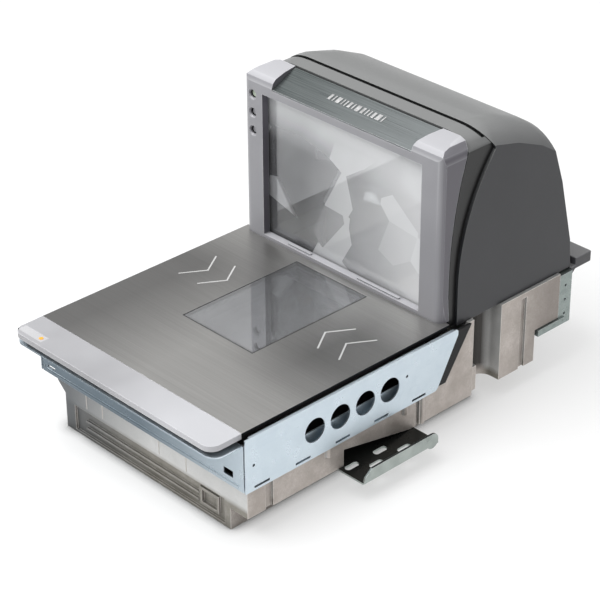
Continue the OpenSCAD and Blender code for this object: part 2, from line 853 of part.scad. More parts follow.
module bonnet_shell(inset) {
    difference() {
        bonnet_form(inset);
        difference() {
            bonnet_form(wall_t + 0.6);
            both_sides() edge_lip();
        }
    }
}

module bonnet() {
    color(charcoal) intersection() {
        bonnet_shell(0);
        behind_ridge(0);
        span([-bonnet_x, bonnet_x], [40, bonnet_back], [rim_z, crown_z + 1]);
    }
}

// Front band with its brow: narrower than the cover, and parted from it along the top by a groove
module brow() {
    groove_w = 4;
    groove_x = 127;
    groove_inset = 2.9;
    band_x = 134;
    color([0.36, 0.37, 0.38]) difference() {
        intersection() {
            bonnet_shell(0.5);
            behind_seam(0.5);
            span([-band_x, band_x], [40, 130], [rim_z, crown_z + 1]);
        }
        behind_ridge(-0.01);
        difference() {
            intersection() {
                behind_ridge(-groove_w);
                span([-groove_x, groove_x], [50, 140], [rim_z + 150, crown_z + 1]);
            }
            bonnet_form(groove_inset);
        }
    }
}

// ---------------------------------------------------------------- weighing platter

// One chevron whose point is at the origin and whose arms open along +X
module chevron(depth) {
    arm_x = 16;
    arm_y = 25.5;
    run = sqrt(arm_x * arm_x + arm_y * arm_y);
    for (s = [-1, 1]) rotate([0, 0, s * atan2(arm_y, arm_x)])
        translate([-chevron_stroke / 2, -chevron_stroke / 2, 0]) cube([run, chevron_stroke, depth]);
}

module chevrons(depth, z) {
    both_sides() for (x = [68.5, 96.5]) translate([x, window_y - 0.5, z]) chevron(depth);
}

module platter_plate() {
    inlay = 0.4;
    color(steel) difference() {
        span([-plate_half, plate_half], [plate_front, plate_back], [plate_z, top_z]);
        span([-window_x0 - seal_w, window_x0 + seal_w], [window_y0 - seal_w, window_y1 + seal_w],
             [plate_z - cut, top_z + cut]);
        chevrons(inlay + cut, top_z - inlay);
    }
}

module chevron_marks() {
    color([0.80, 0.80, 0.80]) chevrons(0.5, top_z - 0.4);
}

module platter_frame() {
    ledge = 4;
    glass_z = top_z - 3.5;
    color(black) difference() {
        union() {
            span([-137, 137], [plate_front, plate_back], [frame_z, plate_z]);
            span([-130, 130], [plate_front - 28, plate_front], [frame_z, top_z - 2.5]);
        }
        span([-120, 120], [plate_front + 14, window_y0 - 12], [frame_z - cut, plate_z + cut]);
        both_sides() span([window_x0 + 12, 118], [window_y0 - 4, 24], [frame_z - cut, plate_z + cut]);
        span([-window_x0 + ledge, window_x0 - ledge], [window_y0 + ledge, window_y1 - ledge],
             [frame_z - cut, plate_z + cut]);
        span([-window_x0 - seal_w, window_x0 + seal_w], [window_y0 - seal_w, window_y1 + seal_w],
             [glass_z, plate_z + cut]);
    }
}

module window_seal() {
    color(black) difference() {
        span([-window_x0 - seal_w, window_x0 + seal_w], [window_y0 - seal_w, window_y1 + seal_w],
             [top_z - 3.5, top_z - 0.1]);
        span([-window_x0, window_x0], [window_y0, window_y1], [top_z - 4, top_z + cut]);
    }
}

module platter_window() {
    color(glass) span([-window_x0, window_x0], [window_y0, window_y1], [top_z - 3.5, top_z - 0.2]);
}

module front_trim() {
    corner_r = 12;
    color(silver) difference() {
        translate([0, 0, top_z - trim_height]) linear_extrude(trim_height) union() {
            translate([-plate_half, front_y + corner_r]) square([platter_width, trim_length - corner_r]);
            translate([-plate_half + corner_r, front_y]) square([platter_width - 2 * corner_r, corner_r]);
            for (s = [-1, 1]) translate([s * (plate_half - corner_r), front_y + corner_r]) circle(corner_r);
        }
        span([-130, 130], [plate_front - 28, plate_front + cut], [top_z - trim_height - cut, top_z - 2.5]);
        span([-137, -103], [front_y + 5, front_y + 14], [top_z - 0.8, top_z + cut]);
    }
}

module trim_label() {
    color([0.70, 0.70, 0.72]) difference() {
        span([-137, -103], [front_y + 5, front_y + 14], [top_z - 0.8, top_z - 0.3]);
        rod_z(top_z - 0.9, top_z, -108, front_y + 9.5, 2.2);
    }
}

module amber_marker() {
    color([0.95, 0.65, 0.15]) rod_z(top_z - 0.8, top_z + 0.1, -108, front_y + 9.5, 2.2);
}

// ---------------------------------------------------------------- bezel on the platter

// Front outline: upright sides with slight feet, and round top corners
function bezel_front(inset) = [
    [0, top_z - cut], [bezel_x + 1.5 - inset, top_z - cut], [bezel_x + 1.5 - inset, top_z + 2],
    [bezel_x - inset, top_z + 24],
    [bezel_x - inset, bezel_top - 16 - inset], [bezel_x - 2 - inset, bezel_top - 8 - inset],
    [bezel_x - 7 - inset, bezel_top - 2 - inset], [bezel_x - 14 - inset, bezel_top - inset], [0, bezel_top - inset]
];

// Side profile: upright front, top that climbs to the seam, back that follows the seam
function bezel_side(inset) = concat(
    [[bezel_y + inset, top_z - inset], [bezel_y + inset, bezel_top - 12 - inset],
     [bezel_y + 2 + inset, bezel_top - 7 - inset], [bezel_y + 7, bezel_top - 3.5 - inset],
     [bezel_y + 20, bezel_top - 1 - inset], [seam_y(bezel_top), bezel_top - inset]],
    [for (i = [0:8]) let (z = bezel_top - 2 - (bezel_top - 2 - lean_z) * i / 8) [seam_y(z) + inset, z]],
    [[lean_y + inset, top_z - inset]]
);

// The sloping top between the two corner lugs; its lower edge is the front's top line
module slope_place() {
    translate([0, bezel_y, bezel_top - 12.2]) rotate([insert_slope, 0, 0]) children();
}

// Plan outline with round front corners
function bezel_plan(inset) = let (r = 10 - inset, x = bezel_x + 1.5 - inset - r, y = bezel_y + inset + r)
    concat([[-x - r, 100]], [for (a = [0:10:90]) [-x - r * cos(a), y - r * sin(a)]],
           [for (a = [90:-10:0]) [x + r * cos(a), y - r * sin(a)]], [[x + r, 100]]);

module bezel_form(inset) {
    intersection() {
        translate([0, 0, top_z - 5]) linear_extrude(200) polygon(bezel_plan(inset));
        both_sides() along_y(bezel_y - cut, bezel_y + 60) polygon(bezel_front(inset));
        along_x(-150, 150) polygon(bezel_side(inset));
    }
}

module bezel() {
    insert_t = 1.6;
    color(silver) difference() {
        bezel_form(0);
        difference() {
            bezel_form(wall_t);
            slope_place() translate([-104, -40, -insert_t - wall_t]) cube([208, 110, 30]);
            span([-opening_x - wall_t, opening_x + wall_t], [0, reveal_back], [0, bezel_top]);
        }
        span([-opening_x, opening_x], [bezel_y - cut, bezel_y + 60], [opening_z0, opening_z1]);
        slope_place() translate([0, 0, -insert_t]) linear_extrude(30)
            polygon([[-93, -1], [93, -1], [98, 37.5], [101, 60], [-101, 60], [-98, 37.5]]);
        for (i = [0:2]) translate([button_x, bezel_y, button_z + i * button_pitch]) rotate([-90, 0, 0]) {
            translate([0, 0, -cut]) cylinder(h = wall_t + 2 * cut, r = 4.2);
            translate([0, 0, -0.01]) cylinder(h = 1.2, r1 = 5.6, r2 = 4.2);
        }
    }
    color(silver) for (x = [[-74, -42], [23, 79]])
        span(x, [bezel_y + 2, bezel_y + 5], [opening_z0, opening_z0 + 1.5]);
}

module bezel_insert() {
    color([0.45, 0.46, 0.45]) intersection() {
        slope_place() translate([0, 0, -1.6]) linear_extrude(1.6)
            polygon([[-92.8, 0], [92.8, 0], [97.6, 37.5], [-97.6, 37.5]]);
        span([-110, 110], [bezel_y, 90], [bezel_top - 20, bezel_top + 10]);
    }
}

// A generic row of upright bars of mixed widths, like a bar code without a meaning
module emblem_bars() {
    bars = [2, 1, 3, 1, 1, 2, 1, 3, 2, 1, 1, 2, 3, 1];
    unit = 1.6;
    gap = 2.6;
    function place(i) = i == 0 ? 0 : place(i - 1) + bars[i - 1] * unit + gap;
    span_x = place(len(bars) - 1) + bars[len(bars) - 1] * unit;
    color(silver) slope_place() for (i = [0:len(bars) - 1])
        translate([place(i) - span_x / 2 + 3, 17, 0]) cube([bars[i] * unit, 8, 0.5]);
}

module bezel_screws() {
    color(steel) for (x = [-90, -30, 30, 90]) rod_z(frame_z - 2.5, frame_z, x, plate_back - 6, 3);
}

base_casting();
front_panel();
side_panel_right();
side_panel_left();
edge_seals();
lip_gasket();
bracket_right();
bracket_left();
bracket_screws();
rear_panel();
rear_rail();
rail_screws();
optics_shroud();
inner_window();
inner_window_seal();
lower_mirror_frame();
lower_mirrors();
load_cell();
load_cell_bolts();
platter_support();
support_pads();
motor_board();
motor_stator();
bearing_sleeve();
motor_rotor();
facet_wheel();
laser_module();
laser_mount();
collector_lens();
lens_holder();
detector_board();
main_board();
interface_jacks();
tower_frame();
tower_screws();
upper_mirror_frame();
upper_mirrors();
vertical_window();
window_gasket();
speaker();
button_housing();
button_board();
indicator_lens();
volume_button();
zero_button();
bonnet();
brow();
platter_plate();
platter_frame();
platter_window();
window_seal();
chevron_marks();
front_trim();
trim_label();
amber_marker();
bezel();
bezel_insert();
emblem_bars();
bezel_screws();
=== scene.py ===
import json
import math

import bmesh
import bpy
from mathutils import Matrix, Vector


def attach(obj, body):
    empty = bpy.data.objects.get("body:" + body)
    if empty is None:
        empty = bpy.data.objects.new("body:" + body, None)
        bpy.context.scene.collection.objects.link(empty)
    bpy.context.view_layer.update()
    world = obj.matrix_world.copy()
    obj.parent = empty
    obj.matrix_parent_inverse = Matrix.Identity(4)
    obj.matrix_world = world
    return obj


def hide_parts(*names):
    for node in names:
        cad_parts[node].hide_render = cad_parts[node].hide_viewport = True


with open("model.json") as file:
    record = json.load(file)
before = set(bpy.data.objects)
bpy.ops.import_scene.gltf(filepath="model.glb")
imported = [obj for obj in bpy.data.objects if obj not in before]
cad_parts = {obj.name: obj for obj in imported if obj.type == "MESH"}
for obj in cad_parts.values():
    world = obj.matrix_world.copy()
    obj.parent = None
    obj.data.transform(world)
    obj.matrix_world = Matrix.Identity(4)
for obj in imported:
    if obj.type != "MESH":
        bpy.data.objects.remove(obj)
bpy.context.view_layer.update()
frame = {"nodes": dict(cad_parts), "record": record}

MM = 0.001

# Places on the scanner where a look changes, in metres, most of them edges of painted light and shade:
# each pair goes from none of it to all of it
CAST_BAND_Z = (0.034, 0.028)
CAST_LEFT_X = (0.01, -0.11)
CAST_REAR_Y = (0.13, 0.19)
RECESS_X = (0.134, 0.126)
RECESS_Y = (0.070, 0.082)
RECESS_Z = (0.027, 0.036)
ZINC_LEFT_X = (0.20, 0.0)
PLATE_LEFT_X = (0.0, -0.11)
PLATE_LEFT_Y = (0.03, -0.04)
PLATE_BAND_FRONT_Y = (-0.16, -0.08)
PLATE_BAND_BACK_Y = (0.03, -0.03)
PLATE_BESIDE_WINDOW_X = (0.02, 0.09)
TRIM_RIGHT_X = (0.0, 0.09)
INSERT_RIGHT_X = (-0.08, 0.10)
TOWER_GLASS_Z = (0.116, 0.122)
TOWER_GLASS_RIGHT_X = (-0.06, 0.11)
TOWER_GLASS_TOP_Z = (0.225, 0.275)

# How far the painted edge highlights and the painted shade in hollows reach, and the rays spent on
# finding them
CAST_HOLLOW = 26.0 * MM
MOULDED_HOLLOW = 5.0 * MM
FLOOR_HOLLOW = 14.0 * MM
CAST_EDGE = 1.2 * MM
ZINC_EDGE = 0.35 * MM
BRUSHED_EDGE = 0.5 * MM
MOULDED_EDGE = 0.8 * MM
PLATED_EDGE = 0.4 * MM
SURFACE_RAYS = 4

# Softened edges of the shown pieces
BEVEL_SEGMENTS = 2
BEVEL_ANGLE = math.radians(28)
SAME_POINT = 0.002 * MM
SAME_PLANE = math.radians(0.5)

# Floor, light and camera, in metres and watts
FLOOR_SIZE = 80
FLOOR_GLOW = 0.50
# How much the floor still glows inside the painted contact shadow
CONTACT_SHADOW_GLOW = 0.05
HORIZON_GREY = 0.16
ZENITH_WHITE = 1.0
ZENITH_START = 0.8

KEY_PLACE = (-0.5, -1.0, 2.2)
KEY_AIM = (0, 0, 0.1)
KEY_SIZE = 2.0
KEY_POWER = 60

CAMERA_PLACE = (1.290, -1.240, 1.143)
CAMERA_AIM = (-0.001, -0.012, 0.1076)
CAMERA_LENS = 128.0
CAMERA_ROLL = math.radians(-0.30)
CAMERA_SHIFT = -0.0021
SENSOR_WIDTH = 36


# ---------------------------------------------------------------- materials

def linear(r, g, b):
    """A display colour, 0 to 255, as the linear colour that the shader takes."""
    def channel(v):
        v = v / 255
        return v / 12.92 if v <= 0.04045 else ((v + 0.055) / 1.055) ** 2.4
    return (channel(r), channel(g), channel(b), 1.0)


BLACK = linear(0, 0, 0)
WHITE = linear(255, 255, 255)


class Finish:
    """One procedural material around a single shader, laid out in the scanner's own metres."""

    def __init__(self, name, color, roughness=0.5, metallic=0.0, **sockets):
        self.material = bpy.data.materials.new(name)
        self.material.use_nodes = True
        self.nodes = self.material.node_tree.nodes
        self.links = self.material.node_tree.links
        self.shader = self.nodes["Principled BSDF"]
        self.shader.inputs["Base Color"].default_value = color
        self.shader.inputs["Roughness"].default_value = roughness
        self.shader.inputs["Metallic"].default_value = metallic
        for socket, value in sockets.items():
            self.shader.inputs[socket.replace("_", " ")].default_value = value
        self.place = self.nodes.new("ShaderNodeTexCoord").outputs["Object"]
        self.height = None

    def stretched(self, scale):
        """The place on the scanner, times a scale along each axis."""
        mapping = self.nodes.new("ShaderNodeMapping")
        mapping.inputs["Scale"].default_value = scale
        self.links.new(self.place, mapping.inputs["Vector"])
        return mapping.outputs["Vector"]

    def noise(self, scale, detail=3.0, roughness=0.55):
        """Noise from 0 to 1. scale is how many blobs there are per metre along X, Y and Z."""
        node = self.nodes.new("ShaderNodeTexNoise")
        node.inputs["Scale"].default_value = 1.0
        node.inputs["Detail"].default_value = detail
        node.inputs["Roughness"].default_value = roughness
        vector = scale if isinstance(scale, tuple) else (scale, scale, scale)
        self.links.new(self.stretched(vector), node.inputs["Vector"])
        return node.outputs["Fac"]

    def cells(self, scale, colors=(BLACK, WHITE)):
        """Angular patches: each cell takes a shade between the two colours."""
        node = self.nodes.new("ShaderNodeTexVoronoi")
        node.inputs["Scale"].default_value = 1.0
        self.links.new(self.stretched((scale, scale, scale)), node.inputs["Vector"])
        split = self.nodes.new("ShaderNodeSeparateColor")
        self.links.new(node.outputs["Color"], split.inputs["Color"])
        return self.shade(split.outputs["Red"], colors, (0.0, 1.0))

    def along(self, axis, start, end):
        """0 at start and 1 at end, both in metres, along one axis."""
        split = self.nodes.new("ShaderNodeSeparateXYZ")
        self.links.new(self.place, split.inputs["Vector"])
        return self.remap(split.outputs[axis], start, end, 0.0, 1.0)

    def remap(self, value, low, high, to_low, to_high):
        """Takes the value from low..high to to_low..to_high, and no further."""
        node = self.nodes.new("ShaderNodeMapRange")
        self.links.new(value, node.inputs["Value"])
        for socket, number in zip(("From Min", "From Max", "To Min", "To Max"),
                                  (low, high, to_low, to_high)):
            node.inputs[socket].default_value = number
        return node.outputs["Result"]

    def shade(self, value, colors, stops=(0.35, 0.65)):
        """The first colour below the first stop, the second above the second one, a ramp between."""
        ramp = self.nodes.new("ShaderNodeValToRGB")
        ramp.color_ramp.elements[0].color = colors[0]
        ramp.color_ramp.elements[1].color = colors[1]
        ramp.color_ramp.elements[0].position = stops[0]
        ramp.color_ramp.elements[1].position = stops[1]
        self.links.new(value, ramp.inputs["Fac"])
        return ramp.outputs["Color"]

    def feed(self, values, sockets):
        """Links or sets each socket from its value, which is a socket, a colour or a number."""
        for value, socket in zip(values, sockets):
            if isinstance(value, bpy.types.NodeSocket):
                self.links.new(value, socket)
            else:
                socket.default_value = value

    def blend(self, factor, first, second):
        """Mixes two colours: the first where the factor is 0 and the second where it is 1."""
        node = self.nodes.new("ShaderNodeMix")
        node.data_type = "RGBA"
        factor_in, first_in, second_in = node.inputs[0], node.inputs[6], node.inputs[7]
        self.feed((factor, first, second), (factor_in, first_in, second_in))
        color_out = node.outputs[2]
        return color_out

    def facing(self, axis, low, high):
        """0 to 1 as the face's normal goes from low to high along one axis."""
        face = self.nodes.new("ShaderNodeNewGeometry")
        split = self.nodes.new("ShaderNodeSeparateXYZ")
        self.links.new(face.outputs["Normal"], split.inputs["Vector"])
        return self.remap(split.outputs[axis], low, high, 0.0, 1.0)

    def sideways(self):
        """1 on faces that look left or right, 0 on the others."""
        return self.either(self.facing("X", 0.4, 0.95), self.facing("X", -0.4, -0.95))

    def math(self, operation, first, second):
        node = self.nodes.new("ShaderNodeMath")
        node.operation = operation
        self.feed((first, second), node.inputs)
        return node.outputs["Value"]

    def both(self, first, second):
        """1 where both masks are 1."""
        return self.math("MULTIPLY", first, second)

    def either(self, first, second):
        """The stronger of two masks."""
        return self.math("MAXIMUM", first, second)

    def hollow_shade(self, distance):
        """1 deep inside grooves and corners, 0 on open faces: the mask for painted shade in hollows."""
        node = self.nodes.new("ShaderNodeAmbientOcclusion")
        node.samples = SURFACE_RAYS
        node.inputs["Distance"].default_value = distance
        return self.remap(node.outputs["AO"], 0.85, 0.45, 0.0, 1.0)

    def edges(self, radius, gain=8.0):
        """1 on outer and inner edges within radius, 0 on open faces: the mask for painted edge
        highlights.
        """
        bevel = self.nodes.new("ShaderNodeBevel")
        bevel.samples = SURFACE_RAYS
        bevel.inputs["Radius"].default_value = radius
        face = self.nodes.new("ShaderNodeNewGeometry")
        dot = self.nodes.new("ShaderNodeVectorMath")
        dot.operation = "DOT_PRODUCT"
        self.links.new(bevel.outputs["Normal"], dot.inputs[0])
        self.links.new(face.outputs["True Normal"], dot.inputs[1])
        return self.remap(dot.outputs["Value"], 1.0, 1.0 - 1.0 / gain, 0.0, 1.0)

    def color(self, socket):
        self.links.new(socket, self.shader.inputs["Base Color"])

    def present_color(self):
        """What now feeds the shader's colour."""
        return self.shader.inputs["Base Color"].links[0].from_socket

    def gloss(self, value, rough_low, rough_high, low=0.3, high=0.7):
        """Roughness from rough_low to rough_high as the value goes from low to high."""
        rough = self.remap(value, low, high, rough_low, rough_high)
        self.links.new(rough, self.shader.inputs["Roughness"])

    def bump(self, value, depth):
        """Raises the surface by depth metres where the value is 1."""
        node = self.nodes.new("ShaderNodeBump")
        node.inputs["Strength"].default_value = 1.0
        node.inputs["Distance"].default_value = depth
        self.links.new(value, node.inputs["Height"])
        if self.height is not None:
            self.links.new(self.height, node.inputs["Normal"])
        self.height = node.outputs["Normal"]
        self.links.new(self.height, self.shader.inputs["Normal"])


def cast_finish(name, dark, light, edge_highlight):
    """Raw die-casting: mottled, with pores and flow marks, and painted light and shade: lit and shaded
    copies for the front and the sides, painted shade in hollows and a painted highlight on the edges.
    """
    look = Finish(name, light, 0.5, 0.45)
    cloud = look.noise(28.0, 5.0, 0.65)
    spots = look.noise(160.0, 3.0, 0.6)
    body = look.shade(cloud, (dark, light), (0.36, 0.66))
    body = look.blend(look.remap(spots, 0.45, 0.75, 0.0, 0.45), body, dark)
    speckle = look.noise(700.0, 3.0, 0.7)
    body = look.blend(look.remap(speckle, 0.42, 0.68, 0.0, 0.5), body, linear(138, 128, 118))
    # Painted light and shade on the front: a lit copy above, a shaded copy low down, and painted shade
    # towards the left
    lower_shade = look.blend(0.55, body, linear(112, 108, 94))
    upper_light = look.blend(0.6, body, linear(224, 226, 226))
    front = look.blend(look.along("Z", *CAST_BAND_Z), upper_light, lower_shade)
    front = look.blend(look.along("X", *CAST_LEFT_X), front, look.blend(0.9, front, linear(84, 88, 92)))
    # Painted light on the side faces: a pinker lit copy of the casting colour
    side_shading = look.blend(0.3, body, linear(214, 198, 189))
    # Painted shade towards the rear of the side faces, and a painted shadow deep in the side recess
    side_shading = look.blend(look.along("Y", *CAST_REAR_Y), side_shading, look.blend(0.6, side_shading, linear(112, 105, 100)))
    recess_shadow = look.both(look.along("X", *RECESS_X), look.along("Z", *RECESS_Z))
    recess_shadow = look.both(recess_shadow, look.along("Y", *RECESS_Y))
    side_shading = look.blend(recess_shadow, side_shading, look.blend(0.95, side_shading, linear(48, 46, 44)))
    body = look.blend(look.facing("X", 0.3, 0.8), front, side_shading)
    # Painted shade in hollows and corners
    body = look.blend(look.hollow_shade(CAST_HOLLOW), body, look.blend(0.5, body, linear(62, 60, 57)))
    # Painted highlight along the edges, stronger on the side faces
    rim_highlight = look.blend(look.facing("X", 0.3, 0.8), look.blend(0.6, edge_highlight, body), edge_highlight)
    body = look.blend(look.edges(CAST_EDGE), body, rim_highlight)
    look.color(body)
    look.gloss(cloud, 0.36, 0.60)
    look.bump(look.noise(420.0, 3.0), 0.12 * MM)
    look.bump(cloud, 0.25 * MM)
    return look


def zinc_finish(name, dark, light):
    """Blue-white zinc plate: faint crystal patches and rolling streaks, a painted dark reflection on
    front faces towards the left and a painted highlight on the edges.
    """
    look = Finish(name, light, 0.30, 0.8)
    patches = look.cells(150.0, (dark, light))
    streak = look.noise((6.0, 6.0, 200.0), 2.0)
    body = look.blend(look.remap(streak, 0.3, 0.7, 0.5, 0.95), patches, light)
    cloud = look.noise(7.0, 2.0)
    body = look.blend(look.remap(cloud, 0.35, 0.65, 0.0, 0.22), body, dark)
    # Painted shade: front faces towards the left take a dark painted reflection
    shaded = look.blend(0.85, body, linear(58, 76, 88))
    left_front = look.both(look.facing("Y", -0.3, -0.8), look.along("X", *ZINC_LEFT_X))
    body = look.blend(left_front, body, shaded)
    # Painted highlight along the edges
    body = look.blend(look.edges(ZINC_EDGE), body, linear(236, 242, 248))
    look.color(body)
    look.gloss(look.noise(60.0), 0.24, 0.42)
    look.bump(look.noise(300.0), 0.02 * MM)
    return look


def brushed_finish(name, dark, light, across, rough, depth=0.012):
    """Brushed steel with a painted highlight on its edges. across is how many streaks there are per metre
    along X, Y and Z.
    """
    look = Finish(name, light, rough, 0.9)
    grain = look.noise(across, 4.0, 0.7)
    broad = look.noise(9.0, 2.0)
    body = look.shade(grain, (dark, light), (0.30, 0.70))
    body = look.blend(look.remap(broad, 0.3, 0.7, 0.0, 0.25), body, dark)
    # Painted highlight along the edges
    body = look.blend(look.edges(BRUSHED_EDGE), body, linear(225, 225, 225))
    look.color(body)
    look.gloss(grain, rough - 0.05, rough + 0.08)
    look.bump(grain, depth * MM)
    return look


def platter_finish(name):
    """Brushed plate with painted shade at the left and beside the window, and near-black painted shade on
    its sides.
    """
    look = brushed_finish(name, linear(158, 157, 155), linear(184, 183, 181), (6.0, 2600.0, 2600.0),
                          0.34, 0.006)
    body = look.present_color()
    # Painted shade at the left and beside the window
    to_left = look.both(look.along("X", *PLATE_LEFT_X), look.along("Y", *PLATE_LEFT_Y))
    band = look.both(look.along("Y", *PLATE_BAND_FRONT_Y), look.along("Y", *PLATE_BAND_BACK_Y))
    beside_window = look.both(look.along("X", *PLATE_BESIDE_WINDOW_X), band)
    shaded = look.blend(0.62, body, linear(78, 78, 78))
    body = look.blend(look.either(beside_window, to_left), body, shaded)
    # Near-black painted shade on the faces that do not look up
    look.color(look.blend(look.facing("Z", 0.25, 0.6), linear(34, 35, 37), body))
    return look


def bracket_finish(name):
    """Zinc plate, with painted shade where it faces up and the lighter plate colour on the rolled lip."""
    look = plated_finish(name, linear(146, 154, 150), linear(172, 180, 176), 0.30, 0.8, 40.0)
    body = look.present_color()
    # Painted shade on the faces that look up
    look.color(look.blend(look.facing("Z", 0.80, 0.97), body, linear(62, 63, 61)))
    return look


def moulded_finish(name, dark, light, grain_size, rough, grain_depth, edge_highlight=None, lit_top=None, side_shading=None,
                   groove_shade=None, edge_gain=8.0):
    """Moulded plastic with a fine spark-eroded grain; the optional colours paint light and shade on it: a
    painted edge highlight, a lit top, shaded sides and painted shade in grooves.
    """
    look = Finish(name, light, rough)
    grain = look.noise(1.0 / grain_size, 2.0)
    tone = look.noise(11.0, 2.0)
    body = look.shade(tone, (dark, light), (0.3, 0.7))
    # Painted light: a lighter top
    if lit_top:
        body = look.blend(look.facing("Z", 0.25, 0.95), body, lit_top)
    # Painted shade on the sides
    if side_shading:
        body = look.blend(look.sideways(), body, side_shading)
    # Painted highlight along the edges
    if edge_highlight:
        body = look.blend(look.edges(MOULDED_EDGE, edge_gain), body, edge_highlight)
    # Painted shade in grooves and corners
    if groove_shade:
        body = look.blend(look.hollow_shade(MOULDED_HOLLOW), body, groove_shade)
    look.color(body)
    look.gloss(grain, rough - 0.06, rough + 0.06)
    look.bump(grain, grain_depth)
    return look


def plated_finish(name, dark, light, rough=0.3, metallic=0.9, scale=240.0):
    """Turned or plated metal with a soft uneven sheen and a painted highlight on its edges."""
    look = Finish(name, light, rough, metallic)
    tone = look.noise(scale, 3.0)
    # Painted highlight along the edges
    body = look.blend(look.edges(PLATED_EDGE), look.shade(tone, (dark, light)), linear(230, 230, 230))
    look.color(body)
    look.gloss(tone, rough - 0.08, rough + 0.1)
    look.bump(tone, 0.01 * MM)
    return look


def trim_finish(name):
    """The front trim: moulded, with a painted edge highlight and painted light making it a little
    brighter towards the right.
    """
    look = moulded_finish(name, linear(144, 144, 147), linear(162, 162, 165), 0.45 * MM, 0.42, 0.015 * MM,
                          edge_highlight=linear(200, 200, 204))
    body = look.present_color()
    # Painted light: brighter towards the right
    bright = look.blend(0.6, body, linear(196, 197, 201))
    look.color(look.blend(look.along("X", *TRIM_RIGHT_X), body, bright))
    return look


def insert_finish(name):
    """The tower's sloped insert: coarse dark brushing, with painted light making it lighter towards the
    right.
    """
    look = brushed_finish(name, linear(74, 81, 81), linear(128, 134, 134), (9.0, 1300.0, 1300.0),
                          0.30, 0.02)
    body = look.present_color()
    # Painted light: lighter towards the right
    bright = look.blend(0.30, body, linear(190, 194, 196))
    look.color(look.blend(look.along("X", *INSERT_RIGHT_X), body, bright))
    return look


def window_finish(name, tint, mirror_share):
    """Scan-window glass: the platter's is clear, the tower's turns milky to the right, and carries
    painted reflections: soft pale patches for the mirrors behind it and a pale top.
    """
    look = Finish(name, tint, 0.0, mirror_share, IOR=1.5, Transmission_Weight=1.0)
    smear = look.noise(14.0, 2.0)
    look.gloss(smear, 0.0, 0.035, 0.45, 0.75)
    upright = look.along("Z", *TOWER_GLASS_Z)
    flat = look.math("SUBTRACT", 1.0, upright)
    haze = look.noise(9.0, 3.0)
    to_right = look.along("X", *TOWER_GLASS_RIGHT_X)
    # Painted reflections: pale patches that stand for the mirrors behind the glass, and a pale top
    reflection_patches = look.remap(look.cells(26.0), 0.60, 0.68, 0.0, 0.55)
    reflection_patches = look.either(reflection_patches, look.along("Z", *TOWER_GLASS_TOP_Z))
    clear = look.remap(to_right, 0.0, 1.0, 0.88, 0.26)
    clear = look.both(clear, look.remap(reflection_patches, 0.0, 1.0, 1.0, 0.25))
    clear = look.either(look.both(flat, 0.87), clear)
    look.links.new(look.remap(upright, 0.0, 1.0, mirror_share, 0.07), look.shader.inputs["Metallic"])
    look.links.new(clear, look.shader.inputs["Transmission Weight"])
    milk = look.shade(to_right, (linear(176, 177, 182), linear(240, 240, 242)), (0.0, 1.0))
    milk = look.blend(look.both(reflection_patches, upright), milk, linear(226, 228, 230))
    look.color(look.blend(look.remap(haze, 0.3, 0.7, 0.35, 0.9), tint, milk))
    return look


def mirror_finish(name):
    """Front-silvered mirror with a painted glow: pale emitting patches stand for the bright room it
    throws back.
    """
    look = plated_finish(name, linear(214, 220, 222), linear(240, 244, 246), 0.10, 0.75, 20.0)
    # Painted light: the mirror glows in patches though it is no lamp
    look.shader.inputs["Emission Color"].default_value = linear(218, 222, 221)
    patches = look.cells(22.0)
    look.links.new(look.remap(patches, 0.60, 0.64, 0.06, 1.10), look.shader.inputs["Emission Strength"])
    return look


def board_finish(name):
    """Green circuit board with slightly raised tracks."""
    look = Finish(name, linear(24, 84, 48), 0.4)
    tracks = look.noise((700.0, 60.0, 60.0), 1.0)
    look.color(look.shade(tracks, (linear(16, 62, 36), linear(40, 110, 66)), (0.48, 0.52)))
    look.gloss(tracks, 0.3, 0.5)
    look.bump(tracks, 0.03 * MM)
    return look


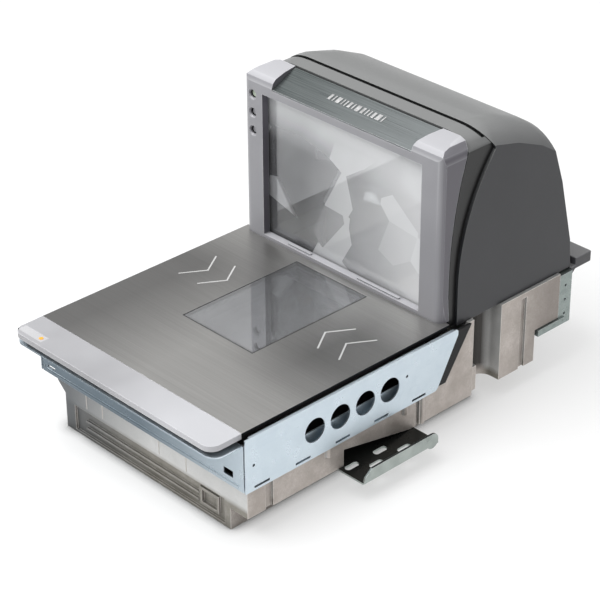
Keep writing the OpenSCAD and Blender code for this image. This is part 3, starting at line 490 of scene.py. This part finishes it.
def make_finishes():
    """One finish for each material slot of the record."""
    return {
        # Its third colour is the painted edge highlight
        "cast_base": cast_finish("cast_base", linear(148, 145, 140), linear(204, 201, 197),
                                 linear(232, 229, 224)),
        "zinc_sheet": zinc_finish("zinc_sheet", linear(192, 206, 216), linear(206, 218, 226)),
        "rear_zinc": zinc_finish("rear_zinc", linear(112, 121, 119), linear(150, 160, 157)),
        "pale_plastic": moulded_finish("pale_plastic", linear(168, 170, 173), linear(196, 198, 201),
                                       0.4 * MM, 0.5, 0.003 * MM),
        "black_seal": moulded_finish("black_seal", linear(14, 14, 15), linear(26, 26, 27), 0.6 * MM,
                                     0.7, 0.05 * MM),
        "bracket_steel": bracket_finish("bracket_steel"),
        "screw_steel": plated_finish("screw_steel", linear(150, 150, 148), linear(200, 200, 198), 0.28),
        # rail_paint: painted edge highlight and a lit top
        "rail_paint": moulded_finish("rail_paint", linear(58, 58, 61), linear(72, 72, 75), 0.5 * MM, 0.45,
                                     0.02 * MM, edge_highlight=linear(120, 120, 124), lit_top=linear(112, 112, 113)),
        "dark_plastic": moulded_finish("dark_plastic", linear(20, 20, 22), linear(34, 34, 36), 0.5 * MM,
                                       0.5, 0.03 * MM),
        "clear_glass": window_finish("clear_glass", linear(238, 240, 241), 0.22),
        "mirror_glass": mirror_finish("mirror_glass"),
        "cell_alloy": brushed_finish("cell_alloy", linear(150, 150, 152), linear(196, 196, 198),
                                     (12.0, 500.0, 500.0), 0.32),
        "rubber_pad": moulded_finish("rubber_pad", linear(18, 18, 18), linear(30, 30, 30), 0.5 * MM, 0.8,
                                     0.05 * MM),
        "circuit_board": board_finish("circuit_board"),
        "winding": brushed_finish("winding", linear(126, 62, 30), linear(190, 104, 56),
                                  (60.0, 60.0, 2400.0), 0.35, 0.1),
        "bronze": plated_finish("bronze", linear(150, 116, 60), linear(196, 160, 92), 0.35),
        "turned_steel": brushed_finish("turned_steel", linear(146, 148, 150), linear(198, 200, 202),
                                       (30.0, 30.0, 1500.0), 0.25),
        "platter_steel": platter_finish("platter_steel"),
        "trim_plastic": trim_finish("trim_plastic"),
        # bezel_plastic: painted edge highlight, lit top, shaded sides and painted shade in grooves
        "bezel_plastic": moulded_finish("bezel_plastic", linear(134, 134, 138), linear(144, 144, 148),
                                        0.45 * MM, 0.34, 0.015 * MM, edge_highlight=linear(204, 204, 208),
                                        lit_top=linear(168, 168, 172), side_shading=linear(92, 90, 97),
                                        groove_shade=linear(96, 96, 100)),
        "label_film": moulded_finish("label_film", linear(166, 166, 168), linear(186, 186, 188), 0.3 * MM,
                                     0.3, 0.004 * MM),
        "amber_film": moulded_finish("amber_film", linear(226, 150, 40), linear(240, 176, 62), 0.3 * MM,
                                     0.3, 0.004 * MM),
        "insert_metal": insert_finish("insert_metal"),
        "emblem_metal": plated_finish("emblem_metal", linear(200, 200, 200), linear(236, 236, 236),
                                      0.2, 1.0),
        # bonnet_plastic: painted edge highlight, lit top and painted shade in its groove
        "bonnet_plastic": moulded_finish("bonnet_plastic", linear(36, 37, 41), linear(42, 43, 47),
                                         0.7 * MM, 0.36, 0.03 * MM, edge_highlight=linear(142, 146, 142),
                                         lit_top=linear(122, 123, 123), groove_shade=linear(22, 23, 24),
                                         edge_gain=3.2),
        # band_plastic: painted edge highlight, lit top, near-black painted shade on its sides and painted
        # shade in grooves
        "band_plastic": moulded_finish("band_plastic", linear(44, 46, 46), linear(52, 54, 54),
                                       0.7 * MM, 0.36, 0.03 * MM, edge_highlight=linear(92, 95, 93),
                                       lit_top=linear(118, 119, 119), side_shading=linear(12, 13, 13),
                                       groove_shade=linear(20, 21, 22)),
        "inlay_paint": moulded_finish("inlay_paint", linear(172, 172, 171), linear(192, 192, 191),
                                      0.3 * MM, 0.5, 0.01 * MM),
        "indicator_plastic": moulded_finish("indicator_plastic", linear(176, 188, 170),
                                            linear(204, 214, 196), 0.8 * MM, 0.25, 0.003 * MM),
        "button_plastic": moulded_finish("button_plastic", linear(150, 150, 154), linear(172, 172, 176),
                                         0.4 * MM, 0.4, 0.01 * MM),
    }


# ---------------------------------------------------------------- pieces

record = frame["record"]
body_of = {node: body for body, members in record["behaviour"]["bodies"].items() for node in members}
slot_of = {part["node"]: part["material_slot"] for part in record["subparts"]}
finishes = make_finishes()


def rounded(node, finish, width):
    """A copy of a CAD node with its edges softened, shown in place of the node."""
    mesh = frame["nodes"][node].data.copy()
    bm = bmesh.new()
    bm.from_mesh(mesh)
    bmesh.ops.remove_doubles(bm, verts=bm.verts, dist=SAME_POINT)
    bmesh.ops.dissolve_limit(bm, angle_limit=SAME_PLANE, verts=bm.verts, edges=bm.edges)
    for face in bm.faces:
        face.smooth = True
    bm.to_mesh(mesh)
    bm.free()
    mesh.materials.clear()
    mesh.materials.append(finish.material)
    piece = bpy.data.objects.new(node + "_shown", mesh)
    bpy.context.scene.collection.objects.link(piece)
    bevel = piece.modifiers.new("soft_edges", "BEVEL")
    bevel.width = width
    bevel.segments = BEVEL_SEGMENTS
    bevel.limit_method = "ANGLE"
    bevel.angle_limit = BEVEL_ANGLE
    bevel.use_clamp_overlap = True
    bevel.harden_normals = True
    weighted = piece.modifiers.new("face_normals", "WEIGHTED_NORMAL")
    weighted.keep_sharp = True
    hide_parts(node)
    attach(piece, body_of[node])


# Width of the softened edge, for the nodes that get one
EDGE_WIDTH = {
    "base_casting": 1.0 * MM,
    "front_panel": 0.35 * MM,
    "side_panel_right": 0.35 * MM,
    "side_panel_left": 0.35 * MM,
    "bracket_right": 0.4 * MM,
    "bracket_left": 0.4 * MM,
    "rear_panel": 0.35 * MM,
    "rear_rail": 1.2 * MM,
    "rail_screws": 0.3 * MM,
    "bracket_screws": 0.3 * MM,
    "optics_shroud": 0.6 * MM,
    "lower_mirror_frame": 0.5 * MM,
    "load_cell": 0.5 * MM,
    "load_cell_bolts": 0.3 * MM,
    "platter_support": 1.0 * MM,
    "laser_mount": 0.6 * MM,
    "lens_holder": 0.6 * MM,
    "interface_jacks": 0.3 * MM,
    "tower_frame": 0.5 * MM,
    "upper_mirror_frame": 0.5 * MM,
    "bonnet": 1.2 * MM,
    "brow": 0.5 * MM,
    "platter_plate": 0.3 * MM,
    "platter_frame": 0.5 * MM,
    "front_trim": 1.0 * MM,
    "bezel": 1.4 * MM,
    "bezel_insert": 0.3 * MM,
    "emblem_bars": 0.12 * MM,
    "volume_button": 0.5 * MM,
    "zero_button": 0.5 * MM,
    "indicator_lens": 0.4 * MM,
}

for node, slot_name in slot_of.items():
    if node in EDGE_WIDTH:
        rounded(node, finishes[slot_name], EDGE_WIDTH[node])
    else:
        materials = frame["nodes"][node].data.materials
        materials.clear()
        materials.append(finishes[slot_name].material)


# ---------------------------------------------------------------- floor, light and camera

def add_floor():
    """White paper that glows a little, with a painted contact shadow where the scanner stands on it."""
    bpy.ops.mesh.primitive_plane_add(size=FLOOR_SIZE, location=(0, 0, 0))
    floor = bpy.context.object
    floor.name = "floor"
    look = Finish("floor_paper", linear(172, 172, 172), 0.9, Emission_Color=WHITE)
    paper = look.shade(look.noise(3.0, 2.0), (linear(170, 170, 170), linear(174, 174, 174)))
    # Painted contact shadow: darker and glowing less in the hollow under the scanner
    contact_shadow = look.hollow_shade(FLOOR_HOLLOW)
    look.color(look.blend(contact_shadow, paper, linear(70, 70, 70)))
    glow = look.remap(contact_shadow, 0.0, 1.0, FLOOR_GLOW, CONTACT_SHADOW_GLOW)
    look.links.new(glow, look.shader.inputs["Emission Strength"])
    floor.data.materials.append(look.material)


def add_world(horizon, zenith):
    """Soft daylight from above, darker towards the horizon."""
    world = bpy.data.worlds.new("studio")
    bpy.context.scene.world = world
    world.use_nodes = True
    nodes = world.node_tree.nodes
    links = world.node_tree.links
    direction = nodes.new("ShaderNodeTexCoord").outputs["Generated"]
    split = nodes.new("ShaderNodeSeparateXYZ")
    links.new(direction, split.inputs["Vector"])
    ramp = nodes.new("ShaderNodeValToRGB")
    ramp.color_ramp.elements[0].color = (horizon, horizon, horizon, 1)
    ramp.color_ramp.elements[1].color = (zenith, zenith, zenith, 1)
    ramp.color_ramp.elements[1].position = ZENITH_START
    links.new(split.outputs["Z"], ramp.inputs["Fac"])
    links.new(ramp.outputs["Color"], nodes["Background"].inputs["Color"])


def turn_to(aim, place):
    """The turn that points a lamp or camera at place towards aim."""
    return (Vector(aim) - Vector(place)).to_track_quat("-Z", "Y").to_euler()


def add_softbox(name, place, aim, size, power):
    light = bpy.data.lights.new(name, "AREA")
    light.shape = "SQUARE"
    light.size = size
    light.energy = power
    lamp = bpy.data.objects.new(name, light)
    lamp.location = place
    lamp.rotation_euler = turn_to(aim, place)
    bpy.context.scene.collection.objects.link(lamp)


def add_camera(place, aim, lens, roll, sideways):
    data = bpy.data.cameras.new("camera")
    data.lens = lens
    data.sensor_width = SENSOR_WIDTH
    camera = bpy.data.objects.new("camera", data)
    camera.location = place
    camera.rotation_euler = turn_to(aim, place)
    camera.rotation_euler.rotate_axis("Z", roll)
    data.shift_x = sideways
    bpy.context.scene.collection.objects.link(camera)
    bpy.context.scene.camera = camera


add_floor()
add_world(HORIZON_GREY, ZENITH_WHITE)
add_softbox("key", KEY_PLACE, KEY_AIM, KEY_SIZE, KEY_POWER)
add_camera(CAMERA_PLACE, CAMERA_AIM, CAMERA_LENS, CAMERA_ROLL, CAMERA_SHIFT)
bpy.context.scene.view_settings.view_transform = "Standard"
